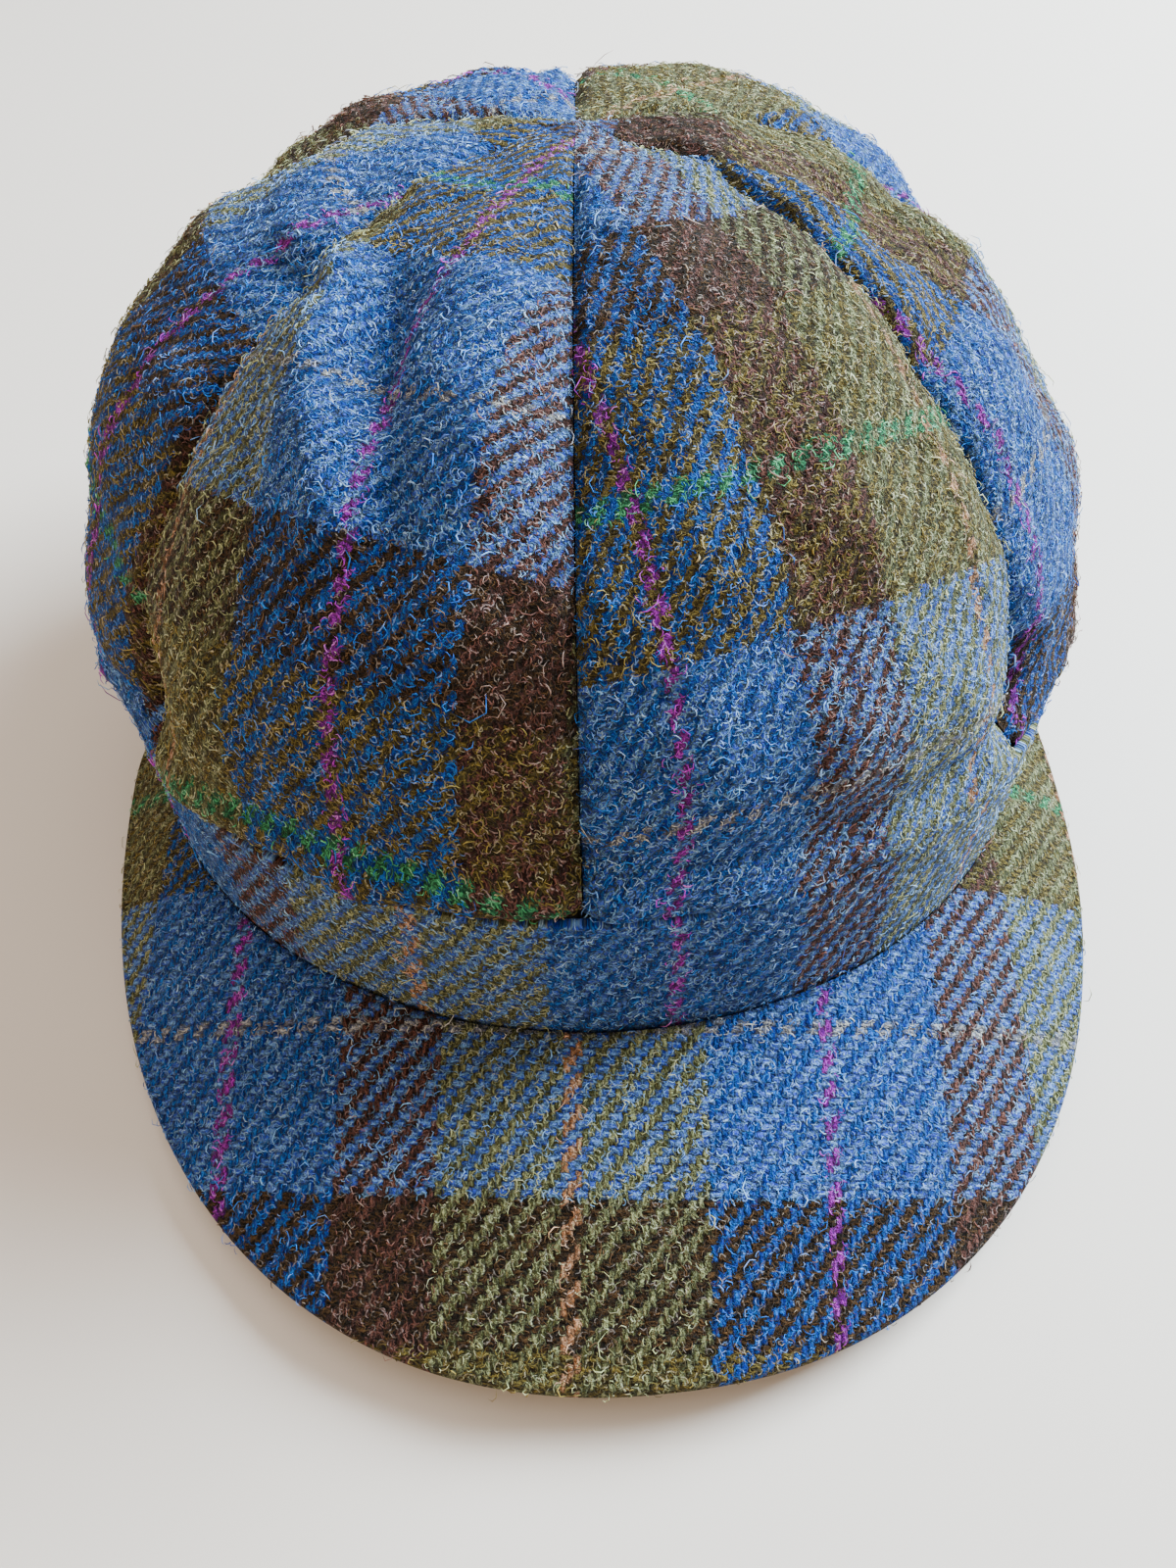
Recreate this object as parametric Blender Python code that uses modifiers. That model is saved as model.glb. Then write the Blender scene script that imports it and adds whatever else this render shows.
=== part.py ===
"""Baker boy cap: six puffed crown panels on a band, with a stiff peak in front.

The cap rests as it would by itself, on the back of its band and on the sides of its peak.
Lengths are in metres and Z is up. The peak points towards -Y, and left and right are those of
someone who faces it. A bearing is an angle seen from above, in degrees, from the front towards
+X. Crown, band and peak are cloth walls, worked out as grids of points.
"""

from collections import namedtuple

import bpy
import numpy as np

# Band, measured outside
BAND_WIDTH = 0.185
BAND_LENGTH = 0.187
BAND_HEIGHT = 0.032
BAND_LEAN = 0.0033
FRONT_LIFT = 0.026

# Crown
CROWN_HEIGHT = 0.086
CROWN_OVERHANG = 0.0045
CROWN_SET_BACK = 0.030
CROWN_TIP = 0.18
PANEL_PUFF = 0.006

# Peak
PEAK_DEPTH = 0.053
PEAK_SIDE_REACH = 0.0085
PEAK_WIDEST = 0.020
PEAK_TAIL = 0.060
PEAK_ARCH = 0.0065
PEAK_THICKNESS = 0.0035
PEAK_SQUARENESS = 2.2
PEAK_END_WIDTH = 0.002

# Cloth and clearances
CLOTH = 0.002
SEAM_GAP = 0.0003
CROWN_SEAT = 0.0007
APEX_OPENING = 0.0008

# The band lies flat on the surface at the back, where a bearing's cosine is below this, and its
# lower edge rises from there to the front, steepest about halfway.
REST_COSINE = -0.35
LIFT_POWER = 1.5
# Share of a panel's height, from band to apex, that leads out to the crown's widest level.
BELLY = 0.28
# Within this distance of the apex the panels' puff fades out.
PUFF_FADE = 0.060
# A panel's puff across its width: the share that stands proud of the mean surface at its middle,
# and the power by which it drops to the seams. Then the power by which it fades up the dome.
PUFF_MIDDLE = 0.45
PUFF_ROUNDNESS = 2.4
PUFF_TAPER = 0.4
# The share of the puff that lifts the top of the dome, reached this many times sooner than it.
PUFF_LIFT = 0.5
PUFF_LIFT_RATE = 1.8
PANEL_COLUMNS = 12
PANEL_ROWS = 17
# The rows of a panel's grid lie closer together near the band, by this power.
ROW_CROWDING = 1.2
BAND_COLUMNS = 80
PEAK_COLUMNS = 36
PEAK_ROWS = 6
ROUGHNESS = 0.95
BAND_COLOUR = (0.075, 0.085, 0.100)
PEAK_COLOUR = (0.080, 0.085, 0.095)

# How the crown stands out on each side: overhang in shares of CROWN_OVERHANG beyond the band, the
# widest level in shares of CROWN_HEIGHT above the band's top, and how square the dome is, where 2
# is an ellipse.
Side = namedtuple("Side", "bearing overhang level squareness")
SIDES = (
    Side(bearing=0, overhang=0.0, level=0.095, squareness=2.3),
    Side(bearing=90, overhang=0.0, level=0.07, squareness=2.05),
    Side(bearing=180, overhang=1.0, level=0.30, squareness=2.3),
    Side(bearing=270, overhang=0.45, level=0.07, squareness=2.3),
)

# Each panel with the bearing of its first seam, and its colour.
Panel = namedtuple("Panel", "name first_seam colour")
PANELS = (
    Panel("panel_front_right", -4.4, (0.085, 0.105, 0.120)),
    Panel("panel_side_right", 51.5, (0.110, 0.120, 0.115)),
    Panel("panel_back_right", 106.0, (0.075, 0.105, 0.150)),
    Panel("panel_back_left", 177.0, (0.070, 0.100, 0.140)),
    Panel("panel_side_left", 245.0, (0.060, 0.070, 0.085)),
    Panel("panel_front_left", 301.3, (0.080, 0.095, 0.115)),
)

# Folds and dents between two places on the crown, each a bearing and a height from 0 at the band
# to 1 at the apex. Width is half the angle that a fold spans, seen from inside the crown, and rise
# is in shares of PANEL_PUFF.
Fold = namedtuple("Fold", "bearing_a height_a bearing_b height_b width rise")
FOLDS = (
    Fold(-46, 0.76, -29, 0.58, width=5.2, rise=0.55),
    Fold(-33, 0.74, -24, 0.56, width=4.0, rise=-0.70),
    Fold(-16, 0.80, -14, 0.60, width=10.0, rise=0.35),
    Fold(-50, 0.79, -66, 0.68, width=5.2, rise=-0.50),
    Fold(51, 0.36, 49, 0.05, width=4.6, rise=-0.30),
    Fold(18, 0.26, 40, 0.14, width=7.0, rise=-0.35),
    Fold(74, 0.78, 66, 0.66, width=4.6, rise=-0.50),
    Fold(-75, 0.45, -88, 0.30, width=7.0, rise=-0.35),
    Fold(122, 0.78, 118, 0.50, width=14.0, rise=0.50),
    Fold(150, 0.40, 140, 0.15, width=7.0, rise=-0.35),
    Fold(214, 0.42, 206, 0.15, width=8.0, rise=-0.35),
)


def clear_scene():
    """Removes every object that the file starts with."""
    for obj in list(bpy.data.objects):
        bpy.data.objects.remove(obj, do_unlink=True)


def new_collection(name):
    """A new collection in the scene."""
    collection = bpy.data.collections.new(name)
    bpy.context.scene.collection.children.link(collection)
    return collection


def cloth_material(name, colour):
    """A rough woollen cloth of one colour."""
    material = bpy.data.materials.new(name)
    material.use_nodes = True
    shader = material.node_tree.nodes["Principled BSDF"]
    shader.inputs["Base Color"].default_value = (*colour, 1.0)
    shader.inputs["Roughness"].default_value = ROUGHNESS
    shader.inputs["Metallic"].default_value = 0.0
    return material


def ease(share):
    """A smooth step from 0 to 1."""
    share = np.clip(share, 0.0, 1.0)
    return share * share * (3.0 - 2.0 * share)


def facing(bearing):
    """How far a bearing faces the front: 1 at the front, 0 from the sides back."""
    return np.clip(np.cos(bearing), 0.0, None) ** 2


def by_side(column, bearing):
    """A column of SIDES at any bearing, blended by the squared cosine to each side."""
    total = 0.0
    for side in SIDES:
        nearness = np.clip(np.cos(bearing - np.radians(side.bearing)), 0.0, None)
        total = total + getattr(side, column) * nearness**2
    return total


def band_radius(bearing, grow=0.0):
    """Distance from the band's middle to its outer face at the bottom, an ellipse."""
    across = np.sin(bearing) / (BAND_WIDTH / 2 + grow)
    along = np.cos(bearing) / (BAND_LENGTH / 2 + grow)
    return 1.0 / np.hypot(across, along)


def band_bottom(bearing):
    """Height of the band's lower edge, lifted at the front by the peak.

    It is the lift times 2 s^p - s^2, with s from 0 where the rise starts to 1 at the front.
    """
    share = np.clip((np.cos(bearing) - REST_COSINE) / (1.0 - REST_COSINE), 0.0, 1.0)
    return FRONT_LIFT * (2.0 * share**LIFT_POWER - share**2)


def around(radius, bearing, height):
    """Points at a radius, bearing and height, as an array of x, y, z."""
    x = radius * np.sin(bearing)
    y = -radius * np.cos(bearing)
    return np.stack(np.broadcast_arrays(x, y, height), axis=-1)


def band_point(bearing, up):
    """The band's outer face; up is 0 at its lower edge and 1 at its top."""
    radius = band_radius(bearing) - BAND_LEAN * up * facing(bearing)
    return around(radius, bearing, band_bottom(bearing) + BAND_HEIGHT * up)


def seam_bearings():
    """The seams' bearings in radians, and the first one again a turn later."""
    first = [panel.first_seam for panel in PANELS]
    return np.radians(first + [first[0] + 360.0])


def puff_at(bearing, height):
    """How far a panel stands out from the crown's mean surface: most at its middle, least at a seam."""
    seams = seam_bearings()
    turned = np.mod(bearing - seams[0], 2 * np.pi) + seams[0]
    index = np.clip(np.searchsorted(seams, turned, side="right") - 1, 0, len(PANELS) - 1)
    middle = (seams[index] + seams[index + 1]) / 2
    half = (seams[index + 1] - seams[index]) / 2
    across = np.abs((turned - middle) / half)
    swell = ease(height / BELLY) * np.abs(np.cos(height * np.pi / 2)) ** PUFF_TAPER
    return PANEL_PUFF * swell * (PUFF_MIDDLE - across**PUFF_ROUNDNESS)


def dome_share(height):
    """How far up the dome a height lies: 0 up to the widest level, then a share of a quarter turn."""
    return np.clip((height - BELLY) / (1.0 - BELLY), 0.0, 1.0)


def crown_radius(bearing, height):
    """Distance from the crown's own axis: a smooth step out from the band, then a squared ellipse."""
    start = band_radius(bearing) - BAND_LEAN * facing(bearing)
    widest = start + CROWN_OVERHANG * by_side("overhang", bearing)
    out = start + (widest - start) * ease(height / BELLY)
    turn = dome_share(height) * np.pi / 2
    return out * np.abs(np.cos(turn)) ** (2.0 / by_side("squareness", bearing))


def smooth_crown(bearing, height):
    """The crown without folds: out from the band to its widest level, then a dome to the apex."""
    low = band_bottom(bearing) + BAND_HEIGHT + CROWN_SEAT
    level = low + CROWN_HEIGHT * by_side("level", bearing)
    top = BAND_HEIGHT + CROWN_HEIGHT
    dome = dome_share(height)
    rise = np.sin(dome * np.pi / 2) ** (2.0 / by_side("squareness", bearing))
    z = low + (level - low) * np.clip(height / BELLY, 0.0, 1.0) + (top - level) * rise

    radius = crown_radius(bearing, height)
    puff = puff_at(bearing, height) * np.clip(radius / PUFF_FADE, 0.0, 1.0)
    lift = puff * PUFF_LIFT * ease(dome * PUFF_LIFT_RATE)
    points = around(radius + puff, bearing, z + lift)
    points[..., 2] -= CROWN_TIP * points[..., 1] * ease(dome)
    points[..., 1] += CROWN_SET_BACK * ease(height)
    return points


def direction(points):
    """Unit vectors towards the points from the middle of the crown's hollow."""
    middle = np.array([0.0, CROWN_SET_BACK / 2, BAND_HEIGHT])
    ray = points - middle
    return ray / np.linalg.norm(ray, axis=-1, keepdims=True)


def fold_rise(fold, ray):
    """A fold's rise along each ray: a rounded ridge on the great circle between the fold's ends."""
    bearings = np.radians([fold.bearing_a, fold.bearing_b])
    start, end = direction(smooth_crown(bearings, np.array([fold.height_a, fold.height_b])))
    pole = np.cross(start, end)
    length = np.arctan2(np.linalg.norm(pole), start @ end)
    pole = pole / np.linalg.norm(pole)
    aside = np.arcsin(np.clip(ray @ pole, -1.0, 1.0))
    along = np.arctan2(ray @ np.cross(pole, start), ray @ start)
    beyond = np.clip(np.maximum(-along, along - length), 0.0, None)
    return fold.rise * PANEL_PUFF * np.exp(-(aside**2 + beyond**2) / np.radians(fold.width) ** 2)


def crown_point(bearing, height):
    """The crown's outer face, with its folds pushed out from the middle of its hollow."""
    points = smooth_crown(bearing, height)
    ray = direction(points)
    rise = sum(fold_rise(fold, ray) for fold in FOLDS)
    return points + ray * (rise * ease(height / BELLY))[..., None]


def panel_grid(index):
    """A panel's outer face between its two seams, held half a seam gap inside each."""
    last = 1.0 - APEX_OPENING / BAND_WIDTH
    rows = last * np.linspace(0.0, 1.0, PANEL_ROWS)[:, None] ** ROW_CROWDING
    columns = np.linspace(0.0, 1.0, PANEL_COLUMNS + 1)[None, :]
    first, final = seam_bearings()[index : index + 2]
    first = first + SEAM_GAP / 2 / crown_radius(first, rows)
    final = final - SEAM_GAP / 2 / crown_radius(final, rows)
    return crown_point(first + (final - first) * columns, rows + 0.0 * columns)


def band_grid():
    """The band's outer face, a ring of two rows."""
    bearing = np.linspace(0.0, 2 * np.pi, BAND_COLUMNS, endpoint=False)[None, :]
    return band_point(bearing, np.array([[0.0], [0.5], [1.0]]) + 0.0 * bearing)


def peak_end_angle():
    """Angle along the peak's outline, from its front, at which the outline meets the band."""
    half = BAND_WIDTH / 2
    share = (half + PEAK_END_WIDTH) / (half + PEAK_SIDE_REACH)
    return np.pi - np.arcsin(share ** (PEAK_SQUARENESS / 2))


def peak_outline(angle):
    """The peak's outer edge: a squared ellipse in front of its widest line and a tail behind it."""
    power = 2.0 / PEAK_SQUARENESS
    reach = BAND_LENGTH / 2 + PEAK_DEPTH - PEAK_WIDEST
    half = BAND_WIDTH / 2 + PEAK_SIDE_REACH
    sine, cosine = np.sin(angle), np.cos(angle)
    x = half * np.sign(sine) * np.abs(sine) ** power
    y = -PEAK_WIDEST - np.where(cosine > 0, reach, -PEAK_TAIL) * np.abs(cosine) ** power
    z = PEAK_THICKNESS + PEAK_ARCH * np.clip(cosine, 0.0, None) ** 2
    return np.stack(np.broadcast_arrays(x, y, z), axis=-1)


def peak_grid():
    """The peak's upper face, straight from under the band out to the outline."""
    share = np.linspace(-1.0, 1.0, PEAK_COLUMNS + 1)[None, :]
    outline = peak_outline(share * peak_end_angle())
    end = outline[0, -1]
    bearing = share * np.arctan2(end[0], -end[1])
    inside = band_radius(bearing, grow=-PEAK_THICKNESS)
    inner = around(inside, bearing, band_bottom(bearing) + PEAK_THICKNESS)
    out = np.linspace(0.0, 1.0, PEAK_ROWS + 1)[:, None, None]
    return (inner + (outline - inner) * out)[::-1]


def surface_object(name, grid, thickness, closed, collection, material):
    """A grid of points as an open surface, whose wall Solidify adds on its inner side."""
    rows, columns = grid.shape[:2]
    number = np.arange(rows * columns).reshape(rows, columns)
    after = np.roll(number, -1, axis=1)
    if not closed:
        number, after = number[:, :-1], after[:, :-1]
    faces = np.stack([number[:-1], after[:-1], after[1:], number[1:]], axis=-1).reshape(-1, 4)
    mesh = bpy.data.meshes.new(name)
    mesh.from_pydata(grid.reshape(-1, 3).tolist(), [], faces.tolist())
    mesh.materials.append(material)
    mesh.shade_smooth()
    obj = bpy.data.objects.new(name, mesh)
    collection.objects.link(obj)
    wall = obj.modifiers.new("wall", "SOLIDIFY")
    wall.thickness = thickness
    wall.offset = -1.0
    wall.use_even_offset = True
    return obj


def band_cutter(collection):
    """The room that the band takes from the peak: its outer face grown by the seam gap."""
    bearing = np.linspace(0.0, 2 * np.pi, BAND_COLUMNS, endpoint=False)
    ring = around(band_radius(bearing, grow=SEAM_GAP), bearing, -PEAK_THICKNESS)
    mesh = bpy.data.meshes.new("band_room")
    mesh.from_pydata(ring.tolist(), [], [list(range(BAND_COLUMNS))])
    cutter = bpy.data.objects.new("band_room", mesh)
    collection.objects.link(cutter)
    wall = cutter.modifiers.new("height", "SOLIDIFY")
    wall.thickness = FRONT_LIFT + BAND_HEIGHT
    wall.offset = 1.0
    cutter.hide_render = True
    cutter.display_type = "WIRE"
    return cutter


def crown_panels(collection):
    """The six panels of the crown, each its own piece."""
    made = []
    for index, panel in enumerate(PANELS):
        tweed = cloth_material(panel.name, panel.colour)
        made.append(surface_object(panel.name, panel_grid(index), CLOTH, False, collection, tweed))
    return made


def band(collection):
    """The band, a closed ring."""
    return surface_object("band", band_grid(), CLOTH, True, collection, cloth_material("band", BAND_COLOUR))


def peak(collection, cutters):
    """The peak, cut where the band stands on it."""
    tweed = cloth_material("peak", PEAK_COLOUR)
    piece = surface_object("peak", peak_grid(), PEAK_THICKNESS, False, collection, tweed)
    trim = piece.modifiers.new("room for the band", "BOOLEAN")
    trim.operation = "DIFFERENCE"
    trim.solver = "EXACT"
    trim.object = band_cutter(cutters)
    return piece


def stand_on_surface(pieces, cutters, collection):
    """Parents everything to one empty, which puts the middle of the cap's outline at the origin."""
    corners = np.concatenate([[vertex.co[:] for vertex in piece.data.vertices] for piece in pieces])
    middle = (corners.min(axis=0) + corners.max(axis=0)) / 2
    stand = bpy.data.objects.new("cap_on_surface", None)
    collection.objects.link(stand)
    stand.location = (-middle[0], -middle[1], 0.0)
    for obj in [*pieces, *cutters.objects]:
        obj.parent = stand


def build_cap():
    """Makes every piece and stands the cap on the middle of its footprint."""
    clear_scene()
    cap = new_collection("baker_boy_cap")
    cutters = new_collection("cutters")
    pieces = [*crown_panels(cap), band(cap), peak(cap, cutters)]
    stand_on_surface(pieces, cutters, cap)


build_cap()
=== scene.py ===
"""Baker boy cap in checked tweed: crown of six panels, band and peak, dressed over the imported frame.

Every surface is a function of two parameters on a grid of points. Lengths are in metres and Z is
up. The peak points towards -Y, and left and right are those of someone who faces it. A bearing is
an angle seen from above, from the front towards +X. Cloth distances, which the UV maps hold, are in
millimetres: U runs across the warp from a purple line, and V along it from a green line.
"""

from collections import namedtuple

import bpy
import numpy as np
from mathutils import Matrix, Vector


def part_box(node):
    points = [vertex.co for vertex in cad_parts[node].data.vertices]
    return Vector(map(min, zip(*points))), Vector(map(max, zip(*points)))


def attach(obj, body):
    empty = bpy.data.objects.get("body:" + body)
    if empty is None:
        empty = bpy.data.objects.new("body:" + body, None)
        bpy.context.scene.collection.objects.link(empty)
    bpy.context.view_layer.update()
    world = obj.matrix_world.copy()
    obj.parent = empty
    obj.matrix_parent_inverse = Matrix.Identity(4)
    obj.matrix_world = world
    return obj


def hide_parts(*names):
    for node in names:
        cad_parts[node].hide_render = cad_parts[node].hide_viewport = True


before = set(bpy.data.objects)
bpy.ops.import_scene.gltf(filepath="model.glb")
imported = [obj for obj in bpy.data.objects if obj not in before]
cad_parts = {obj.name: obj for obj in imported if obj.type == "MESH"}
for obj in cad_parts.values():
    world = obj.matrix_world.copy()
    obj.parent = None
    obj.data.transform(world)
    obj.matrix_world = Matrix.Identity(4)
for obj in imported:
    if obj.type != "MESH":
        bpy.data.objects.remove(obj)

bl_info = {
    "name": "Baker boy cap",
    "version": (1, 0, 0),
    "blender": (4, 5, 0),
    "location": "3D View > Sidebar > Cap",
    "description": "Dresses a baker boy cap in checked tweed",
    "category": "Add Mesh",
}

BAND_LOW, BAND_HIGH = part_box("band")
BAND_MIDDLE = np.array([0.0, (BAND_LOW.y + BAND_HIGH.y) / 2, 0.0])
MILLIMETRES = 1000.0

# How the crown stands out on each side: overhang in shares of CROWN_OVERHANG beyond the band, the
# widest level in shares of the crown's height above the band's top, and how square the dome is,
# where 2 is an ellipse.
Side = namedtuple("Side", "bearing overhang level squareness")
SIDES = (
    Side(bearing=0, overhang=0.0, level=0.095, squareness=2.3),
    Side(bearing=90, overhang=0.0, level=0.07, squareness=2.05),
    Side(bearing=180, overhang=1.0, level=0.30, squareness=2.3),
    Side(bearing=270, overhang=0.45, level=0.07, squareness=2.3),
)

# Each panel with the bearing of its first seam, and how its cloth is laid: the distances in
# millimetres of a purple line from its middle and of a green line above the band, and how far the
# warp leans for each unit of height. Rise and curve say how far the weft moves on with height and
# with its square. Hem is how far the crown's edge stands over the band, in millimetres, and facing
# is -1 where the cloth's other face is out.
CrownPanel = namedtuple("CrownPanel", "name first_seam purple_at green_at lean rise curve hem facing")
PANELS = (
    CrownPanel("front_right", -4.4, -34.0, 78.0, 0.0, 1.165, 0.0, hem=0.0, facing=1),
    CrownPanel("side_right", 51.5, -46.0, 113.0, -0.15, 1.165, 0.0, hem=0.7, facing=1),
    CrownPanel("back_right", 106.0, -58.0, 0.0, 0.0, 1.165, 0.0, hem=0.7, facing=-1),
    CrownPanel("back_left", 177.0, -12.0, 68.0, 0.0, 1.165, 0.0, hem=0.7, facing=1),
    CrownPanel("side_left", 245.0, 28.0, 49.0, 0.08, 1.165, 0.0, hem=0.7, facing=1),
    CrownPanel("front_left", 301.3, 8.5, 8.5, 0.02, 0.90, 0.0019, hem=1.2, facing=1),
)

# Folds and dents between two places on the crown, each a bearing and a height from 0 at the band
# to 1 at the apex. Width is half the angle that a fold spans, seen from inside the crown, and rise
# is in shares of the puff.
Fold = namedtuple("Fold", "bearing_a height_a bearing_b height_b width rise")
FOLDS = (
    Fold(-46, 0.76, -29, 0.58, width=5.2, rise=0.55),
    Fold(-33, 0.74, -24, 0.56, width=4.0, rise=-0.70),
    Fold(-16, 0.80, -14, 0.60, width=10.0, rise=0.35),
    Fold(-50, 0.79, -66, 0.68, width=5.2, rise=-0.50),
    Fold(51, 0.36, 49, 0.05, width=4.6, rise=-0.30),
    Fold(18, 0.26, 40, 0.14, width=7.0, rise=-0.35),
    Fold(74, 0.78, 66, 0.66, width=4.6, rise=-0.50),
    Fold(-75, 0.45, -88, 0.30, width=7.0, rise=-0.35),
    Fold(122, 0.78, 118, 0.50, width=14.0, rise=0.50),
    Fold(150, 0.40, 140, 0.15, width=7.0, rise=-0.35),
    Fold(214, 0.42, 206, 0.15, width=8.0, rise=-0.35),
)

# Sharper creases that only the cloth shows, in the same form.
CREASES = (
    Fold(-44.5, 0.76, -30, 0.60, width=2.6, rise=0.38),
    Fold(-40, 0.775, -32, 0.69, width=3.2, rise=-0.42),
    Fold(-34.5, 0.71, -25.5, 0.60, width=2.6, rise=-0.36),
    Fold(-47, 0.66, -40, 0.52, width=4.0, rise=-0.16),
    Fold(-20, 0.76, -14, 0.66, width=5.5, rise=0.16),
    Fold(-68, 0.742, -43, 0.735, width=2.0, rise=-0.26),
    Fold(-66, 0.775, -48, 0.79, width=3.0, rise=0.18),
    Fold(-58.7, 0.66, -58.7, 0.12, width=3.4, rise=-0.16),
    Fold(51.5, 0.62, 51.5, 0.30, width=3.6, rise=-0.22),
    Fold(54, 0.32, 51, 0.12, width=3.0, rise=-0.60),
    Fold(83, 0.74, 77, 0.67, width=3.4, rise=-0.40),
    Fold(90, 0.74, 84, 0.64, width=3.2, rise=0.22),
    Fold(62, 0.80, 60, 0.70, width=3.6, rise=0.18),
    Fold(26, 0.27, 38, 0.20, width=3.6, rise=-0.18),
    Fold(30, 0.40, 44, 0.34, width=4.4, rise=0.12),
    Fold(-30, 0.20, -50, 0.26, width=3.6, rise=-0.14),
    Fold(160, 0.52, 140, 0.44, width=4.0, rise=-0.25),
    Fold(200, 0.30, 222, 0.40, width=4.5, rise=0.22),
    Fold(236, 0.62, 226, 0.40, width=4.0, rise=-0.20),
)

# One repeat of the check, in millimetres from a purple warp line or a green weft line: where each
# stripe starts, and its yarn.
Stripe = namedtuple("Stripe", "start yarn")
WARP_REPEAT = 107.0
WARP = (
    Stripe(0.0, "purple"),
    Stripe(1.5, "blue"),
    Stripe(21.5, "brown"),
    Stripe(39.5, "olive"),
    Stripe(61.2, "orange"),
    Stripe(63.8, "olive"),
    Stripe(85.5, "blue"),
    Stripe(105.5, "purple"),
)
WEFT_REPEAT = 133.0
WEFT = (
    Stripe(0.0, "green"),
    Stripe(1.6, "gold"),
    Stripe(28.0, "dark"),
    Stripe(50.0, "sky"),
    Stripe(77.0, "cream"),
    Stripe(80.0, "sky"),
    Stripe(107.0, "gold"),
    Stripe(131.4, "green"),
)

# Yarns, each with its body colour and the colour of the lighter fibres spun into it.
Yarn = namedtuple("Yarn", "body fleck")
YARNS = {
    "blue": Yarn((0.002, 0.016, 0.200), (0.012, 0.265, 0.950)),
    "sky": Yarn((0.024, 0.056, 0.420), (0.290, 0.600, 1.000)),
    "brown": Yarn((0.012, 0.003, 0.002), (0.310, 0.125, 0.095)),
    "olive": Yarn((0.040, 0.042, 0.010), (0.590, 0.620, 0.300)),
    "dark": Yarn((0.002, 0.001, 0.000), (0.170, 0.085, 0.030)),
    "gold": Yarn((0.016, 0.011, 0.003), (0.400, 0.300, 0.065)),
    "purple": Yarn((0.100, 0.001, 0.160), (0.850, 0.050, 1.000)),
    "orange": Yarn((0.300, 0.120, 0.045), (0.980, 0.580, 0.360)),
    "green": Yarn((0.004, 0.055, 0.026), (0.120, 0.700, 0.280)),
    "cream": Yarn((0.080, 0.100, 0.220), (0.800, 0.780, 0.700)),
}


class CapShape(bpy.types.PropertyGroup):
    """Sizes of the crown, band and peak. Those of the band start from the frame."""

    band_width: bpy.props.FloatProperty(
        name="Band width", description="Across the band, outside", subtype="DISTANCE",
        default=BAND_HIGH.x - BAND_LOW.x)
    band_length: bpy.props.FloatProperty(
        name="Band length", description="Front to back of the band, outside", subtype="DISTANCE",
        default=BAND_HIGH.y - BAND_LOW.y)
    band_height: bpy.props.FloatProperty(
        name="Band height", description="Height of the band's wall", subtype="DISTANCE", default=0.032)
    front_lift: bpy.props.FloatProperty(
        name="Front lift", description="How far the peak lifts the band's front", subtype="DISTANCE",
        default=0.026)
    crown_height: bpy.props.FloatProperty(
        name="Crown height", description="Crown above the band at rest", subtype="DISTANCE",
        default=0.086)
    panel_puff: bpy.props.FloatProperty(
        name="Panel puff", description="How far each panel swells between its seams",
        subtype="DISTANCE", default=0.006)
    seam_depth: bpy.props.FloatProperty(
        name="Seam depth", description="Depth of the valley at each seam", subtype="DISTANCE",
        default=0.0016)
    peak_depth: bpy.props.FloatProperty(
        name="Peak depth", description="How far the peak reaches in front of the band",
        subtype="DISTANCE", default=0.053)
    peak_thickness: bpy.props.FloatProperty(
        name="Peak thickness", description="Thickness of the peak's board and its cloth",
        subtype="DISTANCE", default=0.0035)
    cloth: bpy.props.FloatProperty(
        name="Cloth thickness", description="Thickness of crown and band walls", subtype="DISTANCE",
        default=0.002)


class CapCloth(bpy.types.PropertyGroup):
    """The tweed: its yarns and its nap."""

    warp_pitch: bpy.props.FloatProperty(
        name="Warp pitch", description="Distance between warp yarns in millimetres", default=1.12)
    weft_pitch: bpy.props.FloatProperty(
        name="Weft pitch", description="Distance between weft yarns in millimetres", default=1.35)
    yarn_relief: bpy.props.FloatProperty(
        name="Yarn relief", description="Height of the yarns' relief", subtype="DISTANCE",
        default=0.0006)
    fibres: bpy.props.IntProperty(
        name="Fibres", description="Loose fibres on each square centimetre of cloth", default=62)
    fibre_length: bpy.props.FloatProperty(
        name="Fibre length", description="Length of a loose fibre", subtype="DISTANCE", default=0.0022)
    fibre_radius: bpy.props.FloatProperty(
        name="Fibre radius", description="Radius of a loose fibre", subtype="DISTANCE",
        default=0.00008)


class CapStage(bpy.types.PropertyGroup):
    """Floor, light and camera."""

    floor_colour: bpy.props.FloatVectorProperty(
        name="Floor colour", description="Colour of the pale floor", subtype="COLOR", size=3,
        default=(0.69, 0.62, 0.56))
    window_power: bpy.props.FloatProperty(
        name="Window power", description="Power of the soft light at the right", subtype="POWER",
        unit="POWER", default=104.0)
    ceiling_power: bpy.props.FloatProperty(
        name="Ceiling power", description="Power of the broad light overhead", subtype="POWER",
        unit="POWER", default=9.0)
    fill_power: bpy.props.FloatProperty(
        name="Fill power", description="Power of the warm light at the front left", subtype="POWER",
        unit="POWER", default=4.0)
    room_light: bpy.props.FloatProperty(
        name="Room light", description="Strength of the even light all round", default=0.58)
    focal_length: bpy.props.FloatProperty(
        name="Focal length", description="Camera lens in millimetres", default=27.0)


# Shape

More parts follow.
